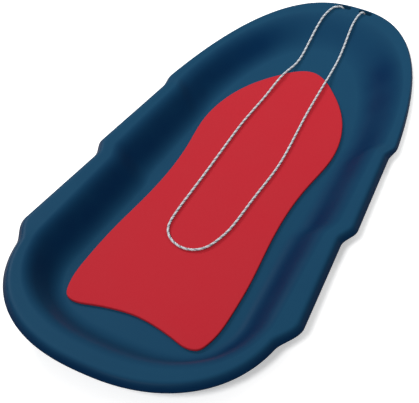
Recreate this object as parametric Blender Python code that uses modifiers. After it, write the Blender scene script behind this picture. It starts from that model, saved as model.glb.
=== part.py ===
"""A child's snow sled: a moulded plastic tub, a foam pad stuck to its floor and a tow rope.

Metres. Up is +Z, the nose with the tow rope points to -Y, the rider's left side is +X.
The origin is on the ground under the middle of the hull. A station s is a distance forward
from the tail, and a half-width is a distance out from the middle plane.
"""
import math
from collections import namedtuple

import bmesh
import bpy
import numpy as np

# Overall size of the hull
LENGTH = 1.22
WIDTH = 0.57
SHEET = 0.003

# Rim: height of its lower edge at the tail, its fall per metre forward, and the lip above it
EDGE_HEIGHT = 0.049
EDGE_FALL = 0.0163
LIP_AFT = 0.013
LIP_FORE = 0.008
FLANGE_DROP = 0.001

# Floor: flat as far as its rocker, then rising with the square of the distance
ROCKER_START = 0.70
ROCKER_RISE = 0.15

# The three notches of the rim: each starts and ends at these stations
NOTCHES = ((0.190, 0.255), (0.464, 0.514), (0.730, 0.775))
SIDES_AFT = 0.255
SIDES_FORE = 0.55

# A rail is a line round the hull that the cross-sections follow. The tail and the nose are
# part ellipses with their own powers, and the two side panels are straight and taper forward.
Rail = namedtuple("Rail", "tail tail_inset tail_power aft_inset aft_taper fore_inset fore_taper "
                          "nose nose_from nose_inset nose_power nose_root")
RIM = Rail(0.0, 0.020, 2.30, 0.0, 0.092, 0.0056, 0.094,
           LENGTH, 0.40, 0.0, 2.20, 2.49)
WALL_TOP = Rail(0.040, 0.045, 2.3, 0.045, 0.040, 0.041, 0.060,
                LENGTH - 0.045, 0.60, 0.042, 2.6, 2.2)
FLOOR_EDGE = Rail(0.128, 0.118, 3.0, 0.118, 0.070, 0.125, 0.035,
                  LENGTH - 0.185, 0.70, 0.127, 2.0, 2.0)
SPINE_MARGIN = 0.050

# Mesh of the half hull: rows round the rim, and columns from the rim in to the middle plane
ROWS = 64
ROWS_AT_NOTCH = 2.6
LIP_PROFILE = ((0.0, 0.0), (0.40, 0.52), (0.75, 0.87), (1.25, 1.0))
WALL_STEPS = (0.0, 0.12, 0.25, 0.38, 0.52, 0.66, 0.80, 0.90, 1.0)
WALL_CREST = 0.35
WALL_FOOT = 0.40
FLOOR_STEPS = (0.34, 0.67, 1.0)

# Foam pad: half its outline, as distances forward from its rearmost point and half-widths
PAD_THICK = 0.005
PAD_TAIL_MARGIN = 0.024
PAD_NOSE_MARGIN = 0.082
PAD_SIDE_MARGIN = 0.0177
PAD_OUTLINE = (
    (0.021, 0.0), (0.016, 0.045), (0.006, 0.085), (0.000, 0.113), (0.006, 0.132), (0.023, 0.141),
    (0.048, 0.1465), (0.098, 0.1485), (0.178, 0.1455), (0.278, 0.1355), (0.388, 0.1305),
    (0.468, 0.136), (0.548, 0.145), (0.608, 0.141), (0.668, 0.1235), (0.718, 0.0955),
    (0.758, 0.062), (0.786, 0.030), (0.796, 0.0))
PAD_SPINE = (0.060, 0.086)
PAD_STEPS = 2
PAD_COLUMNS = 4

# Tow rope and the slots in the nose flange that it is knotted under. The sheet is turned down
# round each slot into a short collar, which the knot bears on.
ROPE_DIAMETER = 0.005
SLOT_LENGTH = 0.034
SLOT_WIDTH = 0.014
SLOT_FROM_NOSE = 0.0195
SLOT_SIDE = 0.027
SLOT_TOE = math.radians(5.5)
SLOT_SEGMENTS = 22
COLLAR_DEPTH = 0.010
COLLAR_WALL = 0.0018
KNOT_DIAMETER = 0.017
KNOT_HEIGHT = 0.015
KNOT_TAIL = 0.0055
KNOT_SEGMENTS = 16
GAP = 0.0003

# Route of the rope, as x, station and height: up from the port knot through its slot, down
# the nose, round the loop on the pad and back to the starboard knot
ROPE_ROUTE = (
    (0.0275, 1.1995, 0.0240), (0.0275, 1.1995, 0.0288), (0.0315, 1.1967, 0.0377),
    (0.0374, 1.1912, 0.0407), (0.0455, 1.1849, 0.0405), (0.0496, 1.1736, 0.0406),
    (0.0529, 1.1476, 0.0409), (0.0526, 1.0973, 0.0358), (0.0507, 1.0576, 0.0276),
    (0.0467, 1.0085, 0.0205), (0.0465, 0.9630, 0.0179), (0.0526, 0.9242, 0.0193),
    (0.0588, 0.8374, 0.0144), (0.0640, 0.7500, 0.0118), (0.0630, 0.6287, 0.0112),
    (0.0602, 0.4883, 0.0112), (0.0583, 0.4178, 0.0112), (0.0507, 0.3813, 0.0112),
    (0.0377, 0.3644, 0.0112), (0.0194, 0.3539, 0.0112), (-0.0008, 0.3510, 0.0112),
    (-0.0190, 0.3566, 0.0112), (-0.0343, 0.3706, 0.0112), (-0.0456, 0.3965, 0.0112),
    (-0.0528, 0.4289, 0.0112), (-0.0557, 0.4737, 0.0112), (-0.0573, 0.5439, 0.0112),
    (-0.0601, 0.6296, 0.0112), (-0.0535, 0.7275, 0.0116), (-0.0455, 0.8122, 0.0133),
    (-0.0403, 0.9257, 0.0194), (-0.0372, 0.9741, 0.0186), (-0.0330, 1.0311, 0.0229),
    (-0.0274, 1.0765, 0.0307), (-0.0202, 1.1329, 0.0405), (-0.0177, 1.1699, 0.0403),
    (-0.0200, 1.1871, 0.0415), (-0.0227, 1.1957, 0.0395), (-0.0238, 1.2015, 0.0313),
    (-0.0238, 1.2015, 0.0240))
ROPE_STEPS = 2
ROPE_SIDES = 2

HALF = WIDTH / 2.0


def ease(t):
    """Smooth step from 0 to 1."""
    t = np.clip(t, 0.0, 1.0)
    return t * t * (3.0 - 2.0 * t)


def blend(before, after, s, start, end):
    return before + (after - before) * ease((s - start) / (end - start))


def half_width(rail, s):
    """Half-width of a rail at station s."""
    reach = np.clip((s - rail.tail) / (SIDES_AFT - rail.tail), 0.0, 1.0)
    tail = (HALF - rail.tail_inset) * (1.0 - (1.0 - reach) ** rail.tail_power) ** (1.0 / rail.tail_power)
    aft = HALF - rail.aft_inset - rail.aft_taper * (s - NOTCHES[0][1])
    fore = HALF - rail.fore_inset - rail.fore_taper * (s - NOTCHES[1][1])
    reach = np.clip((s - rail.nose_from) / (rail.nose - rail.nose_from), 0.0, 1.0)
    nose = (HALF - rail.nose_inset) * (1.0 - reach ** rail.nose_power) ** (1.0 / rail.nose_root)
    width = blend(tail, aft, s, *NOTCHES[0])
    width = blend(width, fore, s, *NOTCHES[1])
    return blend(width, nose, s, *NOTCHES[2])


def along(rail, rim_s):
    """Station on a rail of the cross-section that starts at station rim_s of the rim."""
    if rim_s < SIDES_AFT:
        return rail.tail + (SIDES_AFT - rail.tail) * rim_s / SIDES_AFT
    if rim_s > SIDES_FORE:
        return SIDES_FORE + (rail.nose - SIDES_FORE) * (rim_s - SIDES_FORE) / (LENGTH - SIDES_FORE)
    return rim_s


def on_rail(rail, rim_s):
    s = along(rail, rim_s)
    return np.array((s, half_width(rail, s)))


def lip_height(s):
    return blend(LIP_AFT, LIP_FORE, s, *NOTCHES[2])


def edge_z(s):
    return EDGE_HEIGHT - EDGE_FALL * s


def floor_z(s):
    return SHEET + ROCKER_RISE * max(s - ROCKER_START, 0.0) ** 2


def wall_fall(t):
    """Share of the wall's height lost at t: a rounded crest, a straight slope and a rounded foot."""
    slope = 1.0 - 0.5 * WALL_CREST - 0.5 * WALL_FOOT
    if t < WALL_CREST:
        return 0.5 * t * t / WALL_CREST / slope
    if t > 1.0 - WALL_FOOT:
        return 1.0 - 0.5 * (1.0 - t) ** 2 / WALL_FOOT / slope
    return (t - 0.5 * WALL_CREST) / slope


def cross_section(rim_s):
    """Points of the hull's top side from the rim's lower edge in to the middle plane."""
    rim = on_rail(RIM, rim_s)
    crest = on_rail(WALL_TOP, rim_s)
    foot = on_rail(FLOOR_EDGE, rim_s)
    lip = lip_height(rim_s)
    inward = (crest - rim) / np.linalg.norm(crest - rim)
    points = []
    for across, up in LIP_PROFILE:
        s, x = rim + inward * across * lip
        points.append((s, x, edge_z(rim_s) + up * lip))
    for t in WALL_STEPS:
        s, x = crest + (foot - crest) * t
        top = edge_z(s) + lip_height(s) - FLANGE_DROP
        points.append((s, x, top + (floor_z(s) - top) * wall_fall(t)))
    floor_length = FLOOR_EDGE.nose - FLOOR_EDGE.tail - 2.0 * SPINE_MARGIN
    share = (foot[0] - FLOOR_EDGE.tail) / (FLOOR_EDGE.nose - FLOOR_EDGE.tail)
    spine = np.array((FLOOR_EDGE.tail + SPINE_MARGIN + floor_length * share, 0.0))
    for t in FLOOR_STEPS:
        s, x = foot + (spine - foot) * t
        points.append((s, x, floor_z(s)))
    return points


def rim_stations(count):
    """Stations that part the rim evenly by its length, and more closely at the notches."""
    turn = np.linspace(0.0, math.pi, 4001)
    s = LENGTH * (1.0 - np.cos(turn)) / 2.0
    step = np.hypot(np.diff(s), np.diff(half_width(RIM, s)))
    middle = (s[1:] + s[:-1]) / 2.0
    weight = np.ones_like(middle)
    for start, end in NOTCHES:
        reach = (end - start) * 0.75
        weight += ROWS_AT_NOTCH * np.exp(-((middle - (start + end) / 2.0) / reach) ** 4)
    travelled = np.concatenate(((0.0,), np.cumsum(step * weight)))
    stations = np.interp(np.linspace(0.0, travelled[-1], count + 1), travelled, s)
    stations[0] = 0.0
    stations[-1] = LENGTH
    return stations


def smooth_line(points, between):
    """Natural cubic spline through hand-chosen points, read at between steps from each to the next."""
    route = np.array(points, dtype=float)
    gap = np.linalg.norm(np.diff(route, axis=0), axis=1)
    inner = len(route) - 2
    system = np.zeros((inner, inner))
    for i in range(inner):
        system[i, i] = 2.0 * (gap[i] + gap[i + 1])
    for i in range(inner - 1):
        system[i, i + 1] = gap[i + 1]
        system[i + 1, i] = gap[i + 1]
    slope = np.diff(route, axis=0) / gap[:, None]
    bend = np.zeros_like(route)
    bend[1:-1] = np.linalg.solve(system, 6.0 * np.diff(slope, axis=0))
    line = []
    for i, reach in enumerate(gap):
        for step in range(between):
            b = step / between
            a = 1.0 - b
            line.append(a * route[i] + b * route[i + 1]
                        + ((a ** 3 - a) * bend[i] + (b ** 3 - b) * bend[i + 1]) * reach ** 2 / 6.0)
    line.append(route[-1])
    return np.array(line)


def place(s, x, z):
    """Coordinates of a point from its station, its distance to port and its height."""
    return (x, LENGTH / 2.0 - s, z)


def clear_objects():
    for obj in list(bpy.data.objects):
        bpy.data.objects.remove(obj, do_unlink=True)


def collection(name):
    made = bpy.data.collections.new(name)
    bpy.context.scene.collection.children.link(made)
    return made


def material(name, colour, roughness, metallic=0.0):
    made = bpy.data.materials.new(name)
    made.use_nodes = True
    shader = made.node_tree.nodes["Principled BSDF"]
    shader.inputs["Base Color"].default_value = (*colour, 1.0)
    shader.inputs["Roughness"].default_value = roughness
    shader.inputs["Metallic"].default_value = metallic
    return made


def add_object(name, data, group, finish=None):
    obj = bpy.data.objects.new(name, data)
    group.objects.link(obj)
    if finish is not None:
        data.materials.append(finish)
    return obj


def half_sheet(name, rows):
    """Grid mesh bent into rows of points, each from the outline in to the middle plane."""
    down = len(rows) - 1
    across = len(rows[0]) - 1
    bm = bmesh.new()
    bmesh.ops.create_grid(bm, x_segments=across, y_segments=down, size=0.5)
    for vert in bm.verts:
        column = round((vert.co.x + 0.5) * across)
        row = round((vert.co.y + 0.5) * down)
        vert.co = place(*rows[row][column])
    for vert in bm.verts:
        if abs(vert.co.x) < 1e-6:
            vert.co.x = 0.0
    mesh = bpy.data.meshes.new(name)
    bm.to_mesh(mesh)
    bm.free()
    mesh.shade_smooth()
    return mesh


def mirror_and_thicken(obj, thickness, side):
    """Second half of a symmetric sheet, then its thickness above (+1) or below (-1) it."""
    mirror = obj.modifiers.new("Mirror", "MIRROR")
    mirror.use_axis = (True, False, False)
    mirror.merge_threshold = 0.0001
    solidify = obj.modifiers.new("Thickness", "SOLIDIFY")
    solidify.thickness = thickness
    solidify.offset = side
    solidify.use_even_offset = True


def combine(obj, operation, other):
    boolean = obj.modifiers.new(operation.title(), "BOOLEAN")
    boolean.operation = operation
    boolean.object = other


def slot_block(name, side, spread, low, high, group):
    """A cylinder drawn out sideways to the slot's outline and a spread round it, toed in like
    the rim beside it. Its two heights are measured from the top of the flange."""
    radius = SLOT_WIDTH / 2.0 + spread
    bm = bmesh.new()
    bmesh.ops.create_cone(bm, cap_ends=True, segments=SLOT_SEGMENTS, radius1=radius,
                          radius2=radius, depth=high - low)
    for vert in bm.verts:
        vert.co.x += math.copysign((SLOT_LENGTH - SLOT_WIDTH) / 2.0, vert.co.x)
    mesh = bpy.data.meshes.new(name)
    bm.to_mesh(mesh)
    bm.free()
    block = add_object(name, mesh, group)
    s = LENGTH - SLOT_FROM_NOSE
    block.location = place(s, side * SLOT_SIDE, edge_z(s) + LIP_FORE + (low + high) / 2.0)
    block.rotation_euler = (0.0, 0.0, side * SLOT_TOE)
    block.hide_render = True
    block.display_type = "WIRE"
    return block


def make_hull(parts, cutters):
    rows = [cross_section(s) for s in rim_stations(ROWS)]
    finish = material("blue_plastic", (0.010, 0.060, 0.120), 0.42)
    hull = add_object("hull", half_sheet("hull", rows), parts, finish)
    mirror_and_thicken(hull, SHEET, -1.0)
    bottom = -SHEET - COLLAR_DEPTH
    for name, side in (("port", 1.0), ("starboard", -1.0)):
        collar = slot_block(name + "_collar", side, COLLAR_WALL, bottom, -0.4 * SHEET, cutters)
        combine(hull, "UNION", collar)
        slot = slot_block(name + "_slot", side, 0.0, bottom - SHEET, 2.0 * SHEET, cutters)
        combine(hull, "DIFFERENCE", slot)


def whole_outline(half, between):
    """Smooth half outline that also crosses the middle plane smoothly, at both its ends."""
    before = [(forward, -x) for forward, x in half[3:0:-1]]
    after = [(forward, -x) for forward, x in half[-2:-5:-1]]
    line = smooth_line(before + list(half) + after, between)
    return line[len(before) * between:-len(after) * between or None]


def pad_rows():
    """Rows of the pad's underside, from its outline in to the middle plane."""
    rear = FLOOR_EDGE.tail + PAD_TAIL_MARGIN
    length = FLOOR_EDGE.nose - PAD_NOSE_MARGIN - rear
    half = HALF - FLOOR_EDGE.aft_inset - PAD_SIDE_MARGIN
    outline = whole_outline(PAD_OUTLINE, PAD_STEPS)
    outline *= (length / PAD_OUTLINE[-1][0], half / max(x for _, x in PAD_OUTLINE))
    rows = []
    for number, (forward, x) in enumerate(outline):
        spine = PAD_SPINE[0] + (length - sum(PAD_SPINE)) * number / (len(outline) - 1)
        row = []
        for column in range(PAD_COLUMNS + 1):
            t = column / PAD_COLUMNS
            s = rear + forward + (spine - forward) * t
            row.append((s, x * (1.0 - t), floor_z(s) + GAP))
        rows.append(row)
    return rows


def make_pad(parts):
    finish = material("red_foam", (0.520, 0.028, 0.038), 0.85)
    pad = add_object("deck_pad", half_sheet("deck_pad", pad_rows()), parts, finish)
    mirror_and_thicken(pad, PAD_THICK, 1.0)


def make_rope(parts, finish):
    curve = bpy.data.curves.new("tow_rope", "CURVE")
    curve.dimensions = "3D"
    curve.bevel_depth = ROPE_DIAMETER / 2.0
    curve.bevel_resolution = ROPE_SIDES
    curve.use_fill_caps = True
    line = smooth_line(ROPE_ROUTE, ROPE_STEPS)
    spline = curve.splines.new("POLY")
    spline.points.add(len(line) - 1)
    for point, (x, s, z) in zip(spline.points, line):
        point.co = (*place(s, x, z), 1.0)
    add_object("tow_rope", curve, parts, finish)


def make_knot(name, end, parts, finish):
    """Outer shape of a stopper knot with its short tail, hanging just below the rope's end."""
    rope = ROPE_DIAMETER / 2.0
    ball = KNOT_DIAMETER / 2.0
    profile = [(0.0, 0.0), (rope, 0.0)]
    for turn in (40.0, 65.0, 90.0, 115.0, 140.0):
        angle = math.radians(turn)
        profile.append((ball * math.sin(angle), KNOT_HEIGHT / 2.0 * (math.cos(angle) - 1.0)))
    bottom = -KNOT_HEIGHT - KNOT_TAIL
    profile += [(rope, -KNOT_HEIGHT), (rope, bottom), (0.0, bottom)]
    mesh = bpy.data.meshes.new(name)
    edges = [(i, i + 1) for i in range(len(profile) - 1)]
    mesh.from_pydata([(x, 0.0, z) for x, z in profile], edges, [])
    knot = add_object(name, mesh, parts, finish)
    x, s, z = end
    knot.location = place(s, x, z - GAP)
    screw = knot.modifiers.new("Turn", "SCREW")
    screw.steps = KNOT_SEGMENTS
    screw.render_steps = KNOT_SEGMENTS
    screw.use_merge_vertices = True
    screw.merge_threshold = 0.0001
    screw.use_smooth_shade = True


def main():
    clear_objects()
    parts = collection("snow_sled")
    cutters = collection("cutters")
    make_hull(parts, cutters)
    make_pad(parts)
    rope = material("grey_white_rope", (0.62, 0.64, 0.66), 0.80)
    make_rope(parts, rope)
    make_knot("knot_port", ROPE_ROUTE[0], parts, rope)
    make_knot("knot_starboard", ROPE_ROUTE[-1], parts, rope)


main()
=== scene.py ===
"""Looks of the snow sled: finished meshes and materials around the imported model.

Metres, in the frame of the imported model: up is +Z, the nose with the tow rope points to -Y and
port, the rider's left side, is +X. A station s is a distance forward from the tail.
"""
import math
from collections import namedtuple

import bmesh
import bpy
import numpy as np
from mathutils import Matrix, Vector


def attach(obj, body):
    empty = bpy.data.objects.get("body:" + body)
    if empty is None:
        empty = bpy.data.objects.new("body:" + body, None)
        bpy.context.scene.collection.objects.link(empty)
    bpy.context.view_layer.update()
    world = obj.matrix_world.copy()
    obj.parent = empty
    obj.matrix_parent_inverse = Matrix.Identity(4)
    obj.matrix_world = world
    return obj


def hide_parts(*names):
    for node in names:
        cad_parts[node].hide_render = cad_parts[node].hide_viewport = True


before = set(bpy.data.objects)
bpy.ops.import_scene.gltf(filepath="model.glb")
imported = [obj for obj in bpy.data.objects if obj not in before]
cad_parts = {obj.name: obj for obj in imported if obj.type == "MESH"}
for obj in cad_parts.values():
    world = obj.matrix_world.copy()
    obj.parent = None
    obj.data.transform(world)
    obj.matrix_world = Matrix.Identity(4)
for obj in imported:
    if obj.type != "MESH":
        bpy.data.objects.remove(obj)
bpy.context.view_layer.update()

# Overall size of the hull
LENGTH = 1.22
WIDTH = 0.57
HALF = WIDTH / 2.0
SHEET = 0.003

# Rim: height of its lower edge at the tail, its fall per metre forward, and the lip above it
EDGE_HEIGHT = 0.049
EDGE_FALL = 0.0163
LIP_AFT = 0.013
LIP_FORE = 0.008
FLANGE_DROP = 0.001

# Floor: flat as far as its rocker, then rising with the square of the distance
ROCKER_START = 0.70
ROCKER_RISE = 0.15

# The three notches of the rim, and the stations where tail and nose curves take over
NOTCHES = ((0.190, 0.255), (0.464, 0.514), (0.730, 0.775))
SIDES_AFT = 0.255
SIDES_FORE = 0.55

# Rails: the lines round the hull that its cross-sections follow, as in the solid model
Rail = namedtuple("Rail", "tail tail_inset tail_power aft_inset aft_taper fore_inset fore_taper "
                          "nose nose_from nose_inset nose_power nose_root")
RIM = Rail(0.0, 0.020, 2.30, 0.0, 0.092, 0.0056, 0.094,
           LENGTH, 0.40, 0.0, 2.20, 2.49)
WALL_TOP = Rail(0.040, 0.045, 2.3, 0.045, 0.040, 0.041, 0.060,
                LENGTH - 0.045, 0.60, 0.042, 2.6, 2.2)
FLOOR_EDGE = Rail(0.128, 0.118, 3.0, 0.118, 0.070, 0.125, 0.035,
                  LENGTH - 0.185, 0.70, 0.127, 2.0, 2.0)
SPINE_MARGIN = 0.050

# Profile of the lip from its lower edge up, across and up as shares of its height, and the
# shares of the wall's width that its rounded crest and foot take
LIP_PROFILE = ((0.0, 0.0), (0.40, 0.52), (0.75, 0.87), (1.25, 1.0))
WALL_CREST = 0.35
WALL_FOOT = 0.40

# Mesh of the half hull: a row of points at each station of the rim, closer at the notches
ROWS = 300
ROWS_AT_NOTCH = 2.6
NOTCH_REACH = 0.75
RIM_SAMPLES = 4001
LIP_STEPS = 4
FLANGE_STEPS = 4
WALL_COLUMNS = 30
FLOOR_COLUMNS = 10
RIM_ROUNDING = 0.0013
SLOT_ROUNDING = 0.0006

# Limits for joining the two halves, and for clearing faces too thin to have an area
MIDDLE_MERGE = 0.0001
STRAIGHT_CORNER = math.radians(179.0)
SAME_POINT = 0.00001

# Painted shade, from 0 to 1, that deepens the blue where the walls and the lip get less light:
# its share on the walls at the tail and at the sides, the share of that left at the nose, and how
# it falls off towards crest, foot and flange
Spot = namedtuple("Spot", "s x z drawn trim")
PAINTED_SHADE_TAIL = 0.38
PAINTED_SHADE_SIDES = 0.92
PAINTED_SHADE_SIDES_FROM = 0.14
PAINTED_SHADE_NOSE_SHARE = 0.40
PAINTED_SHADE_NOSE_FROM = 1.07
PAINTED_SHADE_CREST_POWER = 0.7
PAINTED_SHADE_FOOT_POWER = 1.0
# How fast the painted shade fades up the lip, and the share of the deepest painted shade on the
# lip above its lower edge
LIP_SHADE_FADE = 0.8
LIP_DEEPEST_SHADE = 0.35

# Foam pad: half its outline, as distances forward from its rearmost point and half-widths
PAD_THICK = 0.005
PAD_TAIL_MARGIN = 0.024
PAD_NOSE_MARGIN = 0.082
PAD_SIDE_MARGIN = 0.0177
PAD_OUTLINE = (
    (0.021, 0.0), (0.016, 0.045), (0.006, 0.085), (0.000, 0.113), (0.006, 0.132), (0.023, 0.141),
    (0.048, 0.1465), (0.098, 0.1485), (0.178, 0.1455), (0.278, 0.1355), (0.388, 0.1305),
    (0.468, 0.136), (0.548, 0.145), (0.608, 0.141), (0.668, 0.1235), (0.718, 0.0955),
    (0.758, 0.062), (0.786, 0.030), (0.796, 0.0))
# How far in from the pad's two ends its first and last rows meet the middle plane
PAD_SPINE = (0.060, 0.086)
PAD_STEPS = 14
PAD_COLUMNS = 14
# Cut edge of the foam, from its underside up and over: inset from the outline, and height
PAD_EDGE = ((0.0005, 0.0), (0.0001, 0.0002), (0.0, 0.0006), (0.0, 0.0034), (0.0002, 0.0041),
            (0.0006, 0.0046), (0.0012, 0.0049), (0.0020, 0.0050), (0.0032, 0.0050))
GAP = 0.0003

# Slots in the nose flange for the tow rope, each with a collar under it that laps into the sheet
SLOT_LENGTH = 0.034
SLOT_WIDTH = 0.014
SLOT_FROM_NOSE = 0.0195
SLOT_SIDE = 0.027
SLOT_TOE = math.radians(5.5)
SLOT_SEGMENTS = 46
SLOT_CUT_ABOVE = 2.0 * SHEET
SLOT_CUT_BELOW = SHEET
COLLAR_DEPTH = 0.010
COLLAR_WALL = 0.0018
COLLAR_LAP = 0.4 * SHEET

# Tow rope and its strands: how many, the length of one turn, and the radii of centre and strand
ROPE_DIAMETER = 0.005
STRANDS = 3
STRAND_LAY = 0.0150
STRAND_CENTRE = 0.00118
STRAND_RADIUS = 0.00132
STRAND_SIDES = 8
ROPE_RING = 0.0010
GREY_STRAND = 1.0

# Route of the rope, as x, station and height: up from the port knot through its slot, down
# the nose, round the loop on the pad and back to the starboard knot
ROPE_ROUTE = (
    (0.0275, 1.1995, 0.0240), (0.0275, 1.1995, 0.0288), (0.0315, 1.1967, 0.0377),
    (0.0374, 1.1912, 0.0407), (0.0455, 1.1849, 0.0405), (0.0496, 1.1736, 0.0406),
    (0.0529, 1.1476, 0.0409), (0.0526, 1.0973, 0.0358), (0.0507, 1.0576, 0.0276),
    (0.0467, 1.0085, 0.0205), (0.0465, 0.9630, 0.0179), (0.0526, 0.9242, 0.0193),
    (0.0588, 0.8374, 0.0144), (0.0640, 0.7500, 0.0118), (0.0630, 0.6287, 0.0112),
    (0.0602, 0.4883, 0.0112), (0.0583, 0.4178, 0.0112), (0.0507, 0.3813, 0.0112),
    (0.0377, 0.3644, 0.0112), (0.0194, 0.3539, 0.0112), (-0.0008, 0.3510, 0.0112),
    (-0.0190, 0.3566, 0.0112), (-0.0343, 0.3706, 0.0112), (-0.0456, 0.3965, 0.0112),
    (-0.0528, 0.4289, 0.0112), (-0.0557, 0.4737, 0.0112), (-0.0573, 0.5439, 0.0112),
    (-0.0601, 0.6296, 0.0112), (-0.0535, 0.7275, 0.0116), (-0.0455, 0.8122, 0.0133),
    (-0.0403, 0.9257, 0.0194), (-0.0372, 0.9741, 0.0186), (-0.0330, 1.0311, 0.0229),
    (-0.0274, 1.0765, 0.0307), (-0.0202, 1.1329, 0.0405), (-0.0177, 1.1699, 0.0403),
    (-0.0200, 1.1871, 0.0415), (-0.0227, 1.1957, 0.0395), (-0.0238, 1.2015, 0.0313),
    (-0.0238, 1.2015, 0.0240))
ROPE_STEPS = 30

# Stopper knot, measured from the end of the rope's route: its first points go down the middle
# and out at the bottom, its turns climb round them, and its last points go in at the top and
# down through the turns
KNOT_DIAMETER = 0.017
KNOT_HEIGHT = 0.015
KNOT_TAIL = 0.0055
KNOT_LOW = ROPE_DIAMETER / 2.0 - KNOT_HEIGHT
KNOT_TOP_ROOM = 0.0004
KNOT_TURNS = 2.0
KNOT_TURN_POINTS = 20
KNOT_FIRST_ANGLE = math.radians(35.0)
KNOT_START = ((0.0, 0.0, 0.0), (0.0002, 0.0, -0.0030), (0.0010, 0.0, -0.0070),
              (0.0018, 0.0, KNOT_LOW + 0.0016), (0.0036, 0.0010, KNOT_LOW))
KNOT_END = ((0.0012, 0.0040, -0.0028), (-0.0020, 0.0014, -0.0046), (-0.0018, 0.0002, -0.0080),
            (-0.0014, 0.0, -0.0125), (-0.0010, 0.0002, -KNOT_HEIGHT - 0.002),
            (-0.0004, 0.0002, -KNOT_HEIGHT - KNOT_TAIL))
KNOT_STEPS = 8

# Camera: where it stands, which way it looks, and its lens on a 36 mm wide sensor
CAMERA_PLACE = (-0.6399, 1.3817, 1.3818)
CAMERA_AIM = (0.3326, -0.6370, -0.6954)
CAMERA_LENS = 86.86
CAMERA_SENSOR = 36.0

# Light: the share that comes evenly from all round, a soft lamp high up behind the tail, a
# nearer one to port, and a small one over the nose that leaves no shine
AMBIENT = 0.33
KEY_PLACE = (0.0, 7.50, 9.80)
KEY_SIZE = 2.60
KEY_POWER = 810.0
SIDE_PLACE = (2.60, -0.90, 1.95)
SIDE_SIZE = 1.20
SIDE_POWER = 70.0
NOSE_PLACE = (-0.45, -0.75, 0.95)
NOSE_SIZE = 0.50
NOSE_POWER = 3.0

# Floor: half its side, its paper, and what it glows with for the camera alone
FLOOR_HALF = 6.0
PAPER = (0.90, 0.90, 0.90)
FLOOR_GLOW = 0.41

# Colours of the plastic: where flat, in painted shade on walls, lip and slots, in the deepest
# painted shade at the lip's lower edge and in the slots, and in its clouds, grain and scuffs
BLUE = (0.0095, 0.0515, 0.1050)
PAINTED_SHADE_BLUE = (0.0000, 0.0120, 0.0500)
DEEPEST_SHADE_BLUE = (0.0010, 0.0080, 0.0220)
CLOUD_BLUE = (0.008, 0.072, 0.135)
GRAIN_BLUE = (0.004, 0.045, 0.095)
WORN_BLUE = (0.020, 0.090, 0.160)

# Colours of the foam: all over, and in its clouds, cells and specks
RED = (0.430, 0.0150, 0.0260)
CLOUD_RED = (0.410, 0.020, 0.029)
CELL_RED = (0.510, 0.032, 0.042)
SPECK_RED = (0.360, 0.011, 0.017)

# Colours of the cord: its two kinds of strand, its flecks, and the painted shade in the grooves
# between strands
WHITE_YARN = (0.64, 0.68, 0.71)
GREY_YARN = (0.24, 0.27, 0.30)
FLECK = (0.42, 0.45, 0.48)
GROOVE_SHADE = (0.22, 0.23, 0.26)
WHITE = (1.0, 1.0, 1.0)

# Sockets of the Mix node that hold its two colours and its result
MIX_FIRST = 6
MIX_SECOND = 7
MIX_RESULT = 2


# Curves and heights

def ease(t):
    """Smooth step from 0 to 1."""
    t = np.clip(t, 0.0, 1.0)
    return t * t * (3.0 - 2.0 * t)


def blend(before, after, s, start, end):
    """Goes smoothly from one value to another between two stations."""
    return before + (after - before) * ease((s - start) / (end - start))


def half_width(rail, s):
    """Half-width of a rail at station s."""
    reach = np.clip((s - rail.tail) / (SIDES_AFT - rail.tail), 0.0, 1.0)
    power = rail.tail_power
    tail = (HALF - rail.tail_inset) * (1.0 - (1.0 - reach) ** power) ** (1.0 / power)
    aft = HALF - rail.aft_inset - rail.aft_taper * (s - NOTCHES[0][1])
    fore = HALF - rail.fore_inset - rail.fore_taper * (s - NOTCHES[1][1])
    reach = np.clip((s - rail.nose_from) / (rail.nose - rail.nose_from), 0.0, 1.0)
    nose = (HALF - rail.nose_inset) * (1.0 - reach ** rail.nose_power) ** (1.0 / rail.nose_root)
    width = blend(tail, aft, s, *NOTCHES[0])
    width = blend(width, fore, s, *NOTCHES[1])
    return blend(width, nose, s, *NOTCHES[2])


def along(rail, rim_s):
    """Station on a rail of the cross-section that starts at station rim_s of the rim."""
    if rim_s < SIDES_AFT:
        return rail.tail + (SIDES_AFT - rail.tail) * rim_s / SIDES_AFT
    if rim_s > SIDES_FORE:
        return SIDES_FORE + (rail.nose - SIDES_FORE) * (rim_s - SIDES_FORE) / (LENGTH - SIDES_FORE)
    return rim_s


def on_rail(rail, rim_s):
    """Station and half-width where the cross-section from rim_s crosses a rail."""
    s = along(rail, rim_s)
    return np.array((s, half_width(rail, s)))


def lip_height(s):
    return blend(LIP_AFT, LIP_FORE, s, *NOTCHES[2])


def edge_z(s):
    return EDGE_HEIGHT - EDGE_FALL * s


def crest_z(s):
    """Height of the top of the wall, where the flange ends."""
    return edge_z(s) + lip_height(s) - FLANGE_DROP


def floor_z(s):
    return SHEET + ROCKER_RISE * max(s - ROCKER_START, 0.0) ** 2


def wall_fall(t):
    """Share of the wall's height lost at t: a round crest, a straight slope and a round foot."""
    slope = 1.0 - 0.5 * WALL_CREST - 0.5 * WALL_FOOT
    if t < WALL_CREST:
        return 0.5 * t * t / WALL_CREST / slope
    if t > 1.0 - WALL_FOOT:
        return 1.0 - 0.5 * (1.0 - t) ** 2 / WALL_FOOT / slope
    return (t - 0.5 * WALL_CREST) / slope


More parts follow.
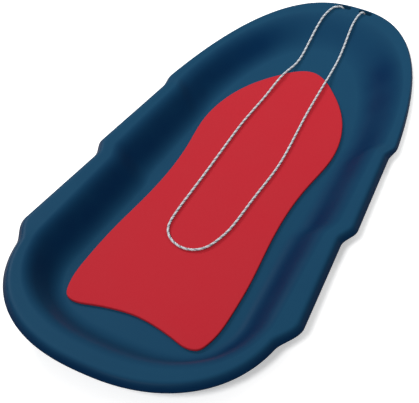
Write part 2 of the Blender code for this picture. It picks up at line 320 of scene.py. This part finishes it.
def smooth_line(points, between):
    """Natural cubic spline through the points, read at between steps from each to the next."""
    route = np.array(points, dtype=float)
    gap = np.linalg.norm(np.diff(route, axis=0), axis=1)
    inner = len(route) - 2
    system = np.zeros((inner, inner))
    for i in range(inner):
        system[i, i] = 2.0 * (gap[i] + gap[i + 1])
    for i in range(inner - 1):
        system[i, i + 1] = gap[i + 1]
        system[i + 1, i] = gap[i + 1]
    slope = np.diff(route, axis=0) / gap[:, None]
    bend = np.zeros_like(route)
    bend[1:-1] = np.linalg.solve(system, 6.0 * np.diff(slope, axis=0))
    line = []
    for i, reach in enumerate(gap):
        for step in range(between):
            b = step / between
            a = 1.0 - b
            line.append(a * route[i] + b * route[i + 1]
                        + ((a ** 3 - a) * bend[i] + (b ** 3 - b) * bend[i + 1]) * reach ** 2 / 6.0)
    line.append(route[-1])
    return np.array(line)


def place(s, x, z):
    """Coordinates of a point from its station, its distance to port and its height."""
    return (x, LENGTH / 2.0 - s, z)


# Objects, meshes and modifiers

def add_object(name, data, finish=None):
    obj = bpy.data.objects.new(name, data)
    bpy.context.scene.collection.objects.link(obj)
    if finish is not None:
        data.materials.append(finish)
    return obj


def grid_mesh(name, rows, close_across=False):
    """Mesh of quads through rows of points, which all have the same count."""
    across = len(rows[0])
    verts = [tuple(point) for row in rows for point in row]
    faces = []
    for i in range(len(rows) - 1):
        here = i * across
        after = here + across
        for j in range(across if close_across else across - 1):
            k = (j + 1) % across
            faces.append((here + j, here + k, after + k, after + j))
    mesh = bpy.data.meshes.new(name)
    mesh.from_pydata(verts, [], faces)
    mesh.update()
    mesh.shade_smooth()
    return mesh


def point_attribute(mesh, name, values):
    layer = mesh.attributes.new(name, "FLOAT", "POINT")
    layer.data.foreach_set("value", np.asarray(values, dtype=np.float32))


def mirror(obj):
    made = obj.modifiers.new("Mirror", "MIRROR")
    made.use_axis = (True, False, False)
    made.merge_threshold = MIDDLE_MERGE


def bevel(obj, width, segments, degrees):
    """Rounds the edges that turn by more than the given number of degrees."""
    made = obj.modifiers.new("Bevel", "BEVEL")
    made.width = width
    made.segments = segments
    made.limit_method = "ANGLE"
    made.angle_limit = math.radians(degrees)
    made.harden_normals = False


def combine(obj, operation, other):
    made = obj.modifiers.new(operation.title(), "BOOLEAN")
    made.operation = operation
    made.object = other


def apply_modifiers(obj):
    """Replaces the object's mesh by what its modifiers make of it."""
    graph = bpy.context.evaluated_depsgraph_get()
    mesh = bpy.data.meshes.new_from_object(obj.evaluated_get(graph))
    part_bent_faces(mesh)
    obj.modifiers.clear()
    obj.data = mesh


def part_bent_faces(mesh):
    """Splits the faces that have a straight corner, so that no triangle of them is flat."""
    bm = bmesh.new()
    bm.from_mesh(mesh)
    bent = [face for face in bm.faces
            if max(loop.calc_angle() for loop in face.loops) > STRAIGHT_CORNER]
    bmesh.ops.triangulate(bm, faces=bent, quad_method="BEAUTY", ngon_method="BEAUTY")
    bmesh.ops.dissolve_degenerate(bm, dist=SAME_POINT, edges=bm.edges)
    bm.to_mesh(mesh)
    bm.free()


# Hull

def lip_spots(rim_s, rim, crest):
    """The lip, with painted shade that fades on its way up from its lower edge, where the shade is
    deepest.
    """
    lip = lip_height(rim_s)
    to_crest = crest - rim
    inward = to_crest / np.linalg.norm(to_crest)
    spots = []
    for across, up in smooth_line(LIP_PROFILE, LIP_STEPS):
        s, x = rim + inward * across * lip
        drawn = ease((LIP_PROFILE[-1][0] - across) * LIP_SHADE_FADE)
        trim = LIP_DEEPEST_SHADE * drawn if spots else 1.0
        spots.append(Spot(s, x, edge_z(rim_s) + up * lip, drawn, trim))
    return spots


def flange_spots(edge, crest):
    """The flange between the top of the lip and the top of the wall."""
    start = np.array((edge.s, edge.x, edge.z))
    end = np.array((*crest, crest_z(crest[0])))
    return [Spot(*(start + (end - start) * step / FLANGE_STEPS), 0.0, 0.0)
            for step in range(1, FLANGE_STEPS)]


def wall_spots(rim_s, crest, foot):
    """The wall from its crest down to its foot, with the most painted shade half-way down."""
    side = painted_shade_share(rim_s)
    spots = []
    for step in range(WALL_COLUMNS + 1):
        t = step / WALL_COLUMNS
        s, x = crest + (foot - crest) * t
        high = crest_z(s)
        power = PAINTED_SHADE_CREST_POWER if t < 0.5 else PAINTED_SHADE_FOOT_POWER
        drawn = side * math.sin(math.pi * t) ** power
        spots.append(Spot(s, x, high + (floor_z(s) - high) * wall_fall(t), drawn, 0.0))
    return spots


def floor_spots(foot):
    """The floor from the foot of the wall in to the middle plane."""
    floor_length = FLOOR_EDGE.nose - FLOOR_EDGE.tail - 2.0 * SPINE_MARGIN
    share = (foot[0] - FLOOR_EDGE.tail) / (FLOOR_EDGE.nose - FLOOR_EDGE.tail)
    spine = np.array((FLOOR_EDGE.tail + SPINE_MARGIN + floor_length * share, 0.0))
    spots = []
    for step in range(1, FLOOR_COLUMNS + 1):
        s, x = foot + (spine - foot) * step / FLOOR_COLUMNS
        spots.append(Spot(s, x, floor_z(s), 0.0, 0.0))
    return spots


def cross_section(rim_s):
    """Spots on the hull's top side from the rim's lower edge in to the middle plane."""
    rim = on_rail(RIM, rim_s)
    crest = on_rail(WALL_TOP, rim_s)
    foot = on_rail(FLOOR_EDGE, rim_s)
    lip = lip_spots(rim_s, rim, crest)
    return (lip + flange_spots(lip[-1], crest) + wall_spots(rim_s, crest, foot)
            + floor_spots(foot))


def painted_shade_share(rim_s):
    """The side walls get the most painted shade, and those of tail and nose less than half as
    much.
    """
    tail = blend(PAINTED_SHADE_TAIL, PAINTED_SHADE_SIDES, rim_s, 0.0, PAINTED_SHADE_SIDES_FROM)
    return tail * blend(1.0, PAINTED_SHADE_NOSE_SHARE, rim_s, PAINTED_SHADE_NOSE_FROM, LENGTH)


def rim_stations(count):
    """Stations that part the rim evenly by its length, and more closely at the notches."""
    turn = np.linspace(0.0, math.pi, RIM_SAMPLES)
    s = LENGTH * (1.0 - np.cos(turn)) / 2.0
    step = np.hypot(np.diff(s), np.diff(half_width(RIM, s)))
    middle = (s[1:] + s[:-1]) / 2.0
    weight = np.ones_like(middle)
    for start, end in NOTCHES:
        reach = (end - start) * NOTCH_REACH
        weight += ROWS_AT_NOTCH * np.exp(-((middle - (start + end) / 2.0) / reach) ** 4)
    travelled = np.concatenate(((0.0,), np.cumsum(step * weight)))
    stations = np.interp(np.linspace(0.0, travelled[-1], count + 1), travelled, s)
    stations[0] = 0.0
    stations[-1] = LENGTH
    return stations


def slot_block(side, spread, low, high):
    """A cylinder stretched out sideways to the slot's outline and a spread round it, toed in like
    the rim beside it. Its two heights are measured from the top of the flange."""
    radius = SLOT_WIDTH / 2.0 + spread
    bm = bmesh.new()
    bmesh.ops.create_cone(bm, cap_ends=True, segments=SLOT_SEGMENTS, radius1=radius,
                          radius2=radius, depth=high - low)
    for vert in bm.verts:
        vert.co.x += math.copysign((SLOT_LENGTH - SLOT_WIDTH) / 2.0, vert.co.x)
    mesh = bpy.data.meshes.new("slot_block")
    bm.to_mesh(mesh)
    bm.free()
    # The walls of the slot and its collar are painted in full shade, as dark as the lip's lower
    # edge
    for name in ("drawn", "trim"):
        point_attribute(mesh, name, [1.0] * len(mesh.vertices))
    block = add_object("slot_block", mesh)
    s = LENGTH - SLOT_FROM_NOSE
    block.location = place(s, side * SLOT_SIDE, edge_z(s) + LIP_FORE + (low + high) / 2.0)
    block.rotation_euler = (0.0, 0.0, side * SLOT_TOE)
    return block


def cut_slots(hull):
    """Adds a collar under each slot and cuts the slot through both. Gives the blocks used."""
    bottom = -SHEET - COLLAR_DEPTH
    blocks = []
    for side in (1.0, -1.0):
        blocks.append(slot_block(side, COLLAR_WALL, bottom, -COLLAR_LAP))
        combine(hull, "UNION", blocks[-1])
        blocks.append(slot_block(side, 0.0, bottom - SLOT_CUT_BELOW, SLOT_CUT_ABOVE))
        combine(hull, "DIFFERENCE", blocks[-1])
    return blocks


def make_hull(finish):
    sections = [cross_section(rim_s) for rim_s in rim_stations(ROWS)]
    mesh = grid_mesh("tub", [[place(spot.s, spot.x, spot.z) for spot in section]
                             for section in sections])
    spots = [spot for section in sections for spot in section]
    # Painted shade, and the deepest painted shade of the lip's edge and the slots, go with each
    # point
    point_attribute(mesh, "drawn", [spot.drawn for spot in spots])
    point_attribute(mesh, "trim", [spot.trim for spot in spots])
    hull = add_object("tub", mesh, finish)
    mirror(hull)
    thick = hull.modifiers.new("Thickness", "SOLIDIFY")
    thick.thickness = SHEET
    thick.offset = -1.0
    thick.use_even_offset = True
    bevel(hull, RIM_ROUNDING, segments=4, degrees=60.0)
    blocks = cut_slots(hull)
    bevel(hull, SLOT_ROUNDING, segments=3, degrees=50.0)
    apply_modifiers(hull)
    for block in blocks:
        bpy.data.objects.remove(block, do_unlink=True)
    hull.data.shade_smooth()
    normals = hull.modifiers.new("Normals", "WEIGHTED_NORMAL")
    normals.keep_sharp = True
    return hull


# Foam pad

def whole_outline(half, between):
    """Smooth half outline that also crosses the middle plane smoothly, at both its ends."""
    before = [(forward, -x) for forward, x in half[3:0:-1]]
    after = [(forward, -x) for forward, x in half[-2:-5:-1]]
    line = smooth_line(before + list(half) + after, between)
    return line[len(before) * between:-len(after) * between]


def pad_point(s, x, height):
    """Coordinates of a point of the pad from its height above the glue gap."""
    return place(s, max(x, 0.0), floor_z(s) + GAP + height)


def pad_rows():
    """Rows of the pad from the middle of its underside out, over its edge and back in on top."""
    rear = FLOOR_EDGE.tail + PAD_TAIL_MARGIN
    length = FLOOR_EDGE.nose - PAD_NOSE_MARGIN - rear
    half = HALF - FLOOR_EDGE.aft_inset - PAD_SIDE_MARGIN
    outline = whole_outline(PAD_OUTLINE, PAD_STEPS)
    outline *= (length / PAD_OUTLINE[-1][0], half / max(x for _, x in PAD_OUTLINE))
    tangent = np.gradient(outline, axis=0)
    tangent[0] = (0.0, 1.0)
    tangent[-1] = (0.0, -1.0)
    tangent /= np.linalg.norm(tangent, axis=1)[:, None]
    inward = np.stack((tangent[:, 1], -tangent[:, 0]), axis=1)
    rows = []
    for number, edge in enumerate(outline):
        spine = PAD_SPINE[0] + (length - sum(PAD_SPINE)) * number / (len(outline) - 1)
        middle = np.array((spine, 0.0))
        under = edge + inward[number] * PAD_EDGE[0][0]
        over = edge + inward[number] * PAD_EDGE[-1][0]
        row = []
        for column in range(PAD_COLUMNS):
            forward, x = middle + (under - middle) * column / PAD_COLUMNS
            row.append(pad_point(rear + forward, x, 0.0))
        for inset, height in PAD_EDGE:
            forward, x = edge + inward[number] * inset
            row.append(pad_point(rear + forward, x, height))
        for column in range(1, PAD_COLUMNS + 1):
            forward, x = over + (middle - over) * column / PAD_COLUMNS
            row.append(pad_point(rear + forward, x, PAD_THICK))
        rows.append(row)
    return rows


def make_pad(finish):
    pad = add_object("foam_pad", grid_mesh("foam_pad", pad_rows()), finish)
    mirror(pad)
    apply_modifiers(pad)
    return pad


# Rope and knots

def even_steps(points, step):
    """The same line with its points a step apart, and how far along it each of them is."""
    reach = np.concatenate(((0.0,), np.cumsum(np.linalg.norm(np.diff(points, axis=0), axis=1))))
    count = max(int(round(reach[-1] / step)), 2)
    at = np.linspace(0.0, reach[-1], count + 1)
    return np.stack([np.interp(at, reach, points[:, axis]) for axis in range(3)], axis=1), at


def strand_outline():
    """Angle and radius of each point round the rope's section, and its depth in a groove."""
    angles = 2.0 * math.pi * np.arange(STRANDS * STRAND_SIDES) / (STRANDS * STRAND_SIDES)
    off = (angles * STRANDS + math.pi) % (2.0 * math.pi) / STRANDS - math.pi / STRANDS
    radii = (STRAND_CENTRE * np.cos(off)
             + np.sqrt(STRAND_RADIUS ** 2 - (STRAND_CENTRE * np.sin(off)) ** 2))
    return angles, radii, 1.0 - radii / (STRAND_CENTRE + STRAND_RADIUS)


def twisted_rope(name, line, finish):
    """Object of a rope of twisted strands along a line, and the points that it follows."""
    path, at = even_steps(line, ROPE_RING)
    tangent = np.gradient(path, axis=0)
    tangent /= np.linalg.norm(tangent, axis=1)[:, None]
    side = np.cross(tangent[0], (0.0, 1.0, 0.0))
    side /= np.linalg.norm(side)
    angles, radii, depths = strand_outline()
    rows = []
    for i, point in enumerate(path):
        side = side - tangent[i] * np.dot(side, tangent[i])
        side /= np.linalg.norm(side)
        other = np.cross(tangent[i], side)
        turn = angles + 2.0 * math.pi * at[i] / STRAND_LAY
        offset = radii[:, None] * (np.cos(turn)[:, None] * side + np.sin(turn)[:, None] * other)
        rows.append(point + offset)
    mesh = grid_mesh(name, rows, close_across=True)
    close_ends(mesh, len(angles))
    strand = np.floor(angles * STRANDS / (2.0 * math.pi) + 0.5) % STRANDS
    point_attribute(mesh, "strand", np.tile(strand, len(path)))
    point_attribute(mesh, "groove", np.tile(depths, len(path)))
    return add_object(name, mesh, finish), path


def close_ends(mesh, count):
    """Closes a tube over its first and its last ring of count points."""
    bm = bmesh.new()
    bm.from_mesh(mesh)
    bm.verts.ensure_lookup_table()
    bm.faces.new([bm.verts[i] for i in range(count)][::-1])
    bm.faces.new([bm.verts[i] for i in range(len(bm.verts) - count, len(bm.verts))])
    bmesh.ops.recalc_face_normals(bm, faces=bm.faces)
    bm.to_mesh(mesh)
    bm.free()


def knot_line(end):
    """Line of the rope in a stopper knot below an end of its route."""
    x, s, z = end
    wrap = (KNOT_DIAMETER - ROPE_DIAMETER) / 2.0
    climb = KNOT_HEIGHT - ROPE_DIAMETER - KNOT_TOP_ROOM
    turns = []
    for i in range(KNOT_TURN_POINTS + 1):
        share = i / KNOT_TURN_POINTS
        angle = KNOT_FIRST_ANGLE + 2.0 * math.pi * KNOT_TURNS * share
        turns.append((wrap * math.cos(angle), wrap * math.sin(angle), KNOT_LOW + climb * share))
    points = [*KNOT_START, *turns, *KNOT_END]
    return np.array(place(s, x, z)) + smooth_line(points, KNOT_STEPS)


def make_rope(finish):
    line = np.array([place(s, x, z) for x, s, z in smooth_line(ROPE_ROUTE, ROPE_STEPS)])
    rope, path = twisted_rope("rope", line, finish)
    port, _ = twisted_rope("stopper_knot_port", knot_line(ROPE_ROUTE[0]), finish)
    starboard, _ = twisted_rope("stopper_knot_starboard", knot_line(ROPE_ROUTE[-1]), finish)
    return rope, port, starboard


# Materials

class Shading:
    """The nodes of one material."""

    def __init__(self, name):
        self.material = bpy.data.materials.new(name)
        self.material.use_nodes = True
        self.tree = self.material.node_tree
        self.tree.nodes.clear()
        self.output = self.tree.nodes.new("ShaderNodeOutputMaterial")
        self.place = self.tree.nodes.new("ShaderNodeTexCoord").outputs["Object"]

    def node(self, kind, inputs, output=0, **settings):
        """Adds a node, sets or links its inputs by name or number, and gives one output."""
        made = self.tree.nodes.new("ShaderNode" + kind)
        for name, value in settings.items():
            setattr(made, name, value)
        for name, value in inputs.items():
            if isinstance(value, bpy.types.NodeSocket):
                self.tree.links.new(value, made.inputs[name])
            else:
                made.inputs[name].default_value = value
        return made.outputs[output]

    def stretched(self, x, y, z):
        """Object coordinates scaled by axis, for patterns that run one way."""
        return self.node("Mapping", {"Vector": self.place, "Scale": (x, y, z)})

    def noise(self, size, detail, roughness=0.5, place=None):
        """Noise whose lumps are about size metres."""
        return self.node("TexNoise", {"Vector": place or self.place, "Scale": 1.0 / size,
                                      "Detail": detail, "Roughness": roughness})

    def cells(self, size):
        """Distance to the middle of cells of about size metres."""
        return self.node("TexVoronoi", {"Vector": self.place, "Scale": 1.0 / size}, "Distance")

    def attribute(self, name):
        return self.node("Attribute", {}, "Fac", attribute_name=name)

    def math(self, operation, a, b):
        return self.node("Math", {0: a, 1: b}, operation=operation)

    def scaled(self, value, start, end, low, high):
        """Value between start and end, turned into one between low and high."""
        return self.node("MapRange", {"Value": value, "From Min": start, "From Max": end,
                                      "To Min": low, "To Max": high})

    def mix(self, share, first, second):
        """Mix of two colours."""
        inputs = {0: share, MIX_FIRST: colour(first), MIX_SECOND: colour(second)}
        return self.node("Mix", inputs, MIX_RESULT, data_type="RGBA")

    def bump(self, height, strength, distance, normal=None):
        inputs = {"Height": height, "Strength": strength, "Distance": distance}
        if normal is not None:
            inputs["Normal"] = normal
        return self.node("Bump", inputs)

    def surface(self, **sockets):
        """The material with a Principled shader, whose sockets have underscores for spaces."""
        shader = self.node("BsdfPrincipled", {name.replace("_", " "): value
                                              for name, value in sockets.items()})
        self.tree.links.new(shader, self.output.inputs["Surface"])
        return self.material


def colour(value):
    """A colour with its alpha, or the socket that gives one as it is."""
    return (*value, 1.0) if isinstance(value, tuple) else value


def plastic():
    """Satin moulded polyethylene, grained, with painted shade that deepens its blue on the walls,
    the lip and in the slots, where it is also a little smoother.
    """
    m = Shading("navy_plastic")
    drawn = m.attribute("drawn")
    cloud = m.noise(size=0.080, detail=2.0)
    # Painted shade: the blue deepens with the shade painted on the walls, the lip and in the slots
    base = m.mix(drawn, BLUE, PAINTED_SHADE_BLUE)
    base = m.mix(m.scaled(cloud, start=0.3, end=0.7, low=0.0, high=0.10), base, CLOUD_BLUE)
    grain = m.noise(size=0.0009, detail=2.0, roughness=0.6)
    base = m.mix(m.scaled(grain, start=0.35, end=0.65, low=0.0, high=0.12), base, GRAIN_BLUE)
    lengthways = m.stretched(6.0, 0.7, 6.0)
    scuff = m.noise(size=0.010, detail=5.0, roughness=0.7, place=lengthways)
    worn = m.scaled(scuff, start=0.64, end=0.74, low=0.0, high=0.10)
    base = m.mix(worn, base, WORN_BLUE)
    # Deepest painted shade: at the lip's lower edge and in the slots, and a little of it up the
    # lip
    base = m.mix(m.attribute("trim"), base, DEEPEST_SHADE_BLUE)
    clouded = m.scaled(cloud, start=0.3, end=0.7, low=0.44, high=0.52)
    rough = m.math("ADD", clouded, m.math("MULTIPLY", drawn, -0.06))
    rough = m.math("ADD", rough, m.math("MULTIPLY", worn, 1.2))
    wave = m.bump(m.noise(size=0.120, detail=1.0), strength=0.25, distance=0.0015)
    fine = m.bump(grain, strength=0.30, distance=0.00008, normal=wave)
    return m.surface(Base_Color=base, Roughness=rough, Normal=fine, IOR=1.50,
                     Specular_IOR_Level=0.03)


def foam():
    """Closed-cell foam with a fine skin."""
    m = Shading("red_foam")
    cell = m.cells(size=0.0011)
    cloud = m.noise(size=0.090, detail=3.0)
    speck = m.noise(size=0.0016, detail=2.0, roughness=0.65)
    base = m.mix(m.scaled(cloud, start=0.3, end=0.7, low=0.0, high=0.35), RED, CLOUD_RED)
    base = m.mix(m.scaled(cell, start=0.1, end=0.7, low=0.22, high=0.0), base, CELL_RED)
    base = m.mix(m.scaled(speck, start=0.55, end=0.72, low=0.0, high=0.18), base, SPECK_RED)
    rough = m.scaled(cell, start=0.0, end=0.7, low=0.72, high=0.88)
    soft = m.bump(cloud, strength=0.35, distance=0.0012)
    fine = m.bump(cell, strength=0.45, distance=0.00018, normal=soft)
    return m.surface(Base_Color=base, Roughness=rough, Normal=fine, IOR=1.45,
                     Specular_IOR_Level=0.14)


def yarn():
    """Twisted cord of white strands and one grey one, flecked, with painted shade in the grooves.
    """
    m = Shading("twisted_cord")
    strand = m.attribute("strand")
    groove = m.attribute("groove")
    apart = m.math("ABSOLUTE", m.math("SUBTRACT", strand, GREY_STRAND), 0.0)
    grey = m.math("LESS_THAN", apart, 0.5)
    fleck = m.noise(size=0.0012, detail=3.0, roughness=0.7)
    base = m.mix(m.math("MULTIPLY", grey, 0.85), WHITE_YARN, GREY_YARN)
    base = m.mix(m.scaled(fleck, start=0.45, end=0.75, low=0.0, high=0.25), base, FLECK)
    # Painted shade in the grooves between the strands
    base = m.mix(m.scaled(groove, start=0.12, end=0.50, low=0.0, high=0.55), base, GROOVE_SHADE)
    rough = m.scaled(fleck, start=0.3, end=0.7, low=0.62, high=0.85)
    fibre = m.noise(size=0.0005, detail=2.0, roughness=0.6)
    fibres = m.bump(fibre, strength=0.5, distance=0.00020)
    return m.surface(Base_Color=base, Roughness=rough, Normal=fibres, IOR=1.50,
                     Specular_IOR_Level=0.35)


def floor_finish():
    """White paper that keeps its shadows, and that the camera sees as plain white elsewhere."""
    m = Shading("studio_floor")
    paper = m.node("BsdfDiffuse", {"Color": colour(PAPER)})
    seen = m.math("MULTIPLY", m.node("LightPath", {}, "Is Camera Ray"), FLOOR_GLOW)
    glow = m.node("Emission", {"Color": colour(WHITE), "Strength": seen})
    both = m.node("AddShader", {0: paper, 1: glow})
    m.tree.links.new(both, m.output.inputs["Surface"])
    return m.material


# Studio

def face(obj, stand, direction):
    """Puts a camera or a lamp in its place and turns it to look one way."""
    obj.location = stand
    obj.rotation_euler = Vector(direction).to_track_quat("-Z", "Y").to_euler()


def make_camera():
    data = bpy.data.cameras.new("camera")
    data.lens = CAMERA_LENS
    data.sensor_width = CAMERA_SENSOR
    data.sensor_fit = "HORIZONTAL"
    camera = add_object("camera", data)
    face(camera, CAMERA_PLACE, CAMERA_AIM)
    bpy.context.scene.camera = camera


def add_lamp(name, stand, size, power, shine=True):
    """A round soft lamp aimed at the origin, which the camera doesn't see."""
    data = bpy.data.lights.new(name, "AREA")
    data.shape = "DISK"
    data.size = size
    data.energy = power
    lamp = add_object(name, data)
    face(lamp, stand, -Vector(stand))
    lamp.visible_camera = False
    lamp.visible_glossy = shine


def make_floor():
    corners = [(-FLOOR_HALF, -FLOOR_HALF, 0.0), (FLOOR_HALF, -FLOOR_HALF, 0.0),
               (FLOOR_HALF, FLOOR_HALF, 0.0), (-FLOOR_HALF, FLOOR_HALF, 0.0)]
    mesh = bpy.data.meshes.new("floor")
    mesh.from_pydata(corners, [], [(0, 1, 2, 3)])
    floor = add_object("floor", mesh, floor_finish())


def make_world():
    """Even light from all round, which the camera sees as white."""
    world = bpy.data.worlds.new("studio")
    world.use_nodes = True
    tree = world.node_tree
    sky = tree.nodes["Background"]
    path = tree.nodes.new("ShaderNodeLightPath")
    level = tree.nodes.new("ShaderNodeMapRange")
    level.inputs["To Min"].default_value = AMBIENT
    level.inputs["To Max"].default_value = 1.0
    tree.links.new(path.outputs["Is Camera Ray"], level.inputs["Value"])
    tree.links.new(level.outputs["Result"], sky.inputs["Strength"])
    sky.inputs["Color"].default_value = colour(WHITE)
    bpy.context.scene.world = world


def make_studio():
    make_floor()
    add_lamp("key", KEY_PLACE, KEY_SIZE, KEY_POWER)
    add_lamp("side", SIDE_PLACE, SIDE_SIZE, SIDE_POWER)
    add_lamp("nose", NOSE_PLACE, NOSE_SIZE, NOSE_POWER, shine=False)
    make_world()
    bpy.context.scene.view_settings.view_transform = "Standard"


def settle(piece, node):
    """The piece rides on the sled's one body and stands for its solid."""
    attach(piece, "root")
    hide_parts(node)


def main():
    make_camera()
    rope, port, starboard = make_rope(yarn())
    settle(rope, "tow_rope")
    settle(port, "knot_port")
    settle(starboard, "knot_starboard")
    settle(make_hull(plastic()), "hull")
    pad = make_pad(foam())
    settle(pad, "deck_pad")
    make_studio()


main()
